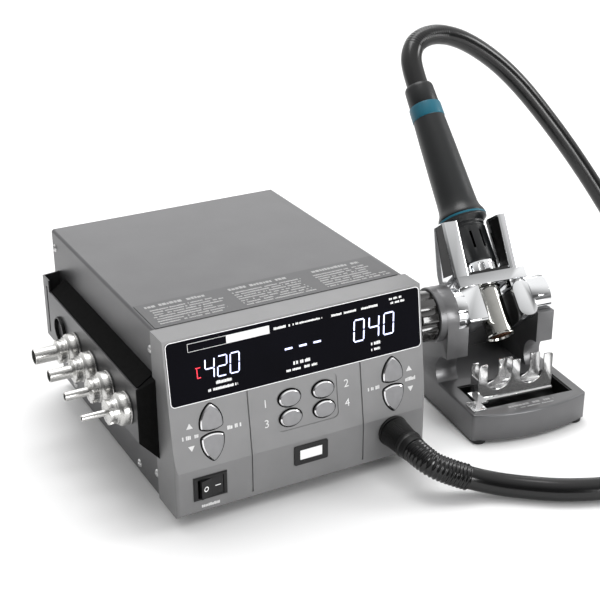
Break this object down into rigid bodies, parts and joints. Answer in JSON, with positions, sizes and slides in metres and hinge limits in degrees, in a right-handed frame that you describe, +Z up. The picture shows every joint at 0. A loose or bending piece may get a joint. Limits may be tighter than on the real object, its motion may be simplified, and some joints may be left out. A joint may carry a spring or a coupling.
{
  "type": "hot air station",
  "caption": "Bench hot air station: case with blower, keys and display, nozzles on a side holder, and a handle on an air hose resting in a tilting stand.",
  "frame": {"origin": "on the bench, under the middle of the box that holds station, nozzles, stand and handle, without the hose", "axes": "+X to the right along the station's front, +Y to the back, +Z up"},
  "size_m": [0.605, 0.3597, 0.2564],
  "materials": {
    "case_paint": "satin powder coat",
    "fascia_plastic": "fine satin",
    "window_black": "gloss",
    "key_plastic": "satin",
    "black_plastic": "satin",
    "lens_white": "translucent",
    "guide_film": "printed film",
    "bare_steel": "zinc plated",
    "rubber_black": "matt",
    "polished_chrome": "polished",
    "board_green": "solder mask",
    "core_steel": "varnished",
    "stand_paint": "powder coat",
    "tube_steel": "satin",
    "ceramic": "fired ceramic",
    "teal_plastic": "satin",
    "grip_plastic": "fine texture",
    "hose_rubber": "matt",
    "silver_barrel": "satin chrome"
  },
  "bodies": {
    "root": {"cover": "case_paint", "chassis": "bare_steel", "rear_panel": "case_paint", "front_panel": "fascia_plastic", "display_window": "window_black", "control_board": "board_green", "sensor_bezel": "black_plastic", "sensor_lens": "lens_white", "switch_body": "black_plastic", "guide_plate": "guide_film", "case_screws": "bare_steel", "case_feet": "rubber_black", "nozzle_bracket": "case_paint", "bracket_liner": "rubber_black", "nozzle_seats": "rubber_black", "blower_housing": "black_plastic", "blower_motor": "core_steel", "air_pipe": "black_plastic", "transformer": "core_steel", "main_board": "board_green", "mains_inlet": "black_plastic", "fuse_holder": "black_plastic", "hose_boot": "hose_rubber", "hose_lower": "hose_rubber", "hose_sleeve": "hose_rubber", "stand_base": "stand_paint", "stand_feet": "rubber_black", "tray_liner": "rubber_black", "nozzle_puller": "polished_chrome", "puller_screws": "bare_steel"},
    "power_rocker": {"power_rocker": "black_plastic"},
    "blower_impeller": {"blower_impeller": "black_plastic"},
    "clamp_knob": {"clamp_knob": "black_plastic", "clamp_stud": "bare_steel"},
    "cradle": {"cradle": "polished_chrome", "cradle_pads": "rubber_black", "hose_upper": "hose_rubber"},
    "handle": {"heater_tube": "tube_steel", "heater_core": "ceramic", "lock_nut": "polished_chrome", "front_barrel": "silver_barrel", "flange_ring": "teal_plastic", "grip": "grip_plastic", "grip_band": "teal_plastic", "grip_end_cap": "grip_plastic", "handle_board": "board_green", "hose_relief": "hose_rubber"},
    "temp_up_button": {"temp_up_button": "key_plastic"},
    "temp_down_button": {"temp_down_button": "key_plastic"},
    "air_up_button": {"air_up_button": "key_plastic"},
    "air_down_button": {"air_down_button": "key_plastic"},
    "channel_1_button": {"channel_1_button": "key_plastic"},
    "channel_2_button": {"channel_2_button": "key_plastic"},
    "channel_3_button": {"channel_3_button": "key_plastic"},
    "channel_4_button": {"channel_4_button": "key_plastic"},
    "nozzle_1": {"nozzle_1": "polished_chrome"},
    "nozzle_2": {"nozzle_2": "polished_chrome"},
    "nozzle_3": {"nozzle_3": "polished_chrome"},
    "nozzle_4": {"nozzle_4": "polished_chrome"}
  },
  "joints": [
    {"name": "power_switch_rock", "type": "hinge", "parent": "root", "child": "power_rocker", "pos_m": [-0.12495, -0.103, 0.028], "axis": [0, 0, 1], "range_deg": [-20, 0]},
    {"name": "temp_up_press", "type": "slide", "parent": "root", "child": "temp_up_button", "axis": [0, 0.9909, -0.1347], "range_m": [0, 0.0008], "stiffness_N_per_m": 400, "springref_m": -0.0005},
    {"name": "temp_down_press", "type": "slide", "parent": "root", "child": "temp_down_button", "axis": [0, 0.9909, -0.1347], "range_m": [0, 0.0008], "stiffness_N_per_m": 400, "springref_m": -0.0005},
    {"name": "air_up_press", "type": "slide", "parent": "root", "child": "air_up_button", "axis": [0, 0.9909, -0.1347], "range_m": [0, 0.0008], "stiffness_N_per_m": 400, "springref_m": -0.0005},
    {"name": "air_down_press", "type": "slide", "parent": "root", "child": "air_down_button", "axis": [0, 0.9909, -0.1347], "range_m": [0, 0.0008], "stiffness_N_per_m": 400, "springref_m": -0.0005},
    {"name": "channel_1_press", "type": "slide", "parent": "root", "child": "channel_1_button", "axis": [0, 0.9909, -0.1347], "range_m": [0, 0.0008], "stiffness_N_per_m": 400, "springref_m": -0.0005},
    {"name": "channel_2_press", "type": "slide", "parent": "root", "child": "channel_2_button", "axis": [0, 0.9909, -0.1347], "range_m": [0, 0.0008], "stiffness_N_per_m": 400, "springref_m": -0.0005},
    {"name": "channel_3_press", "type": "slide", "parent": "root", "child": "channel_3_button", "axis": [0, 0.9909, -0.1347], "range_m": [0, 0.0008], "stiffness_N_per_m": 400, "springref_m": -0.0005},
    {"name": "channel_4_press", "type": "slide", "parent": "root", "child": "channel_4_button", "axis": [0, 0.9909, -0.1347], "range_m": [0, 0.0008], "stiffness_N_per_m": 400, "springref_m": -0.0005},
    {"name": "nozzle_1_pull", "type": "slide", "parent": "root", "child": "nozzle_1", "axis": [-1, 0, 0], "range_m": [0, 0.025]},
    {"name": "nozzle_2_pull", "type": "slide", "parent": "root", "child": "nozzle_2", "axis": [-1, 0, 0], "range_m": [0, 0.025]},
    {"name": "nozzle_3_pull", "type": "slide", "parent": "root", "child": "nozzle_3", "axis": [-1, 0, 0], "range_m": [0, 0.025]},
    {"name": "nozzle_4_pull", "type": "slide", "parent": "root", "child": "nozzle_4", "axis": [-1, 0, 0], "range_m": [0, 0.025]},
    {"name": "impeller_spin", "type": "hinge", "parent": "root", "child": "blower_impeller", "pos_m": [-0.0195, 0.0476, 0.068], "axis": [0, 0, 1], "continuous": true},
    {"name": "clamp_knob_turn", "type": "hinge", "parent": "root", "child": "clamp_knob", "pos_m": [0.13776, -0.04579, 0.078], "axis": [0.9945, -0.1045, 0], "range_deg": [0, 180]},
    {"name": "cradle_tilt", "type": "hinge", "parent": "root", "child": "cradle", "pos_m": [0.13776, -0.04579, 0.078], "axis": [0.9945, -0.1045, 0], "range_deg": [-15, 30], "deforming": ["hose_lower"]},
    {"name": "handle_lift", "type": "slide", "parent": "cradle", "child": "handle", "axis": [0.0726, 0.6909, 0.7193], "range_m": [0, 0.06], "deforming": ["hose_upper"]}
  ]
}
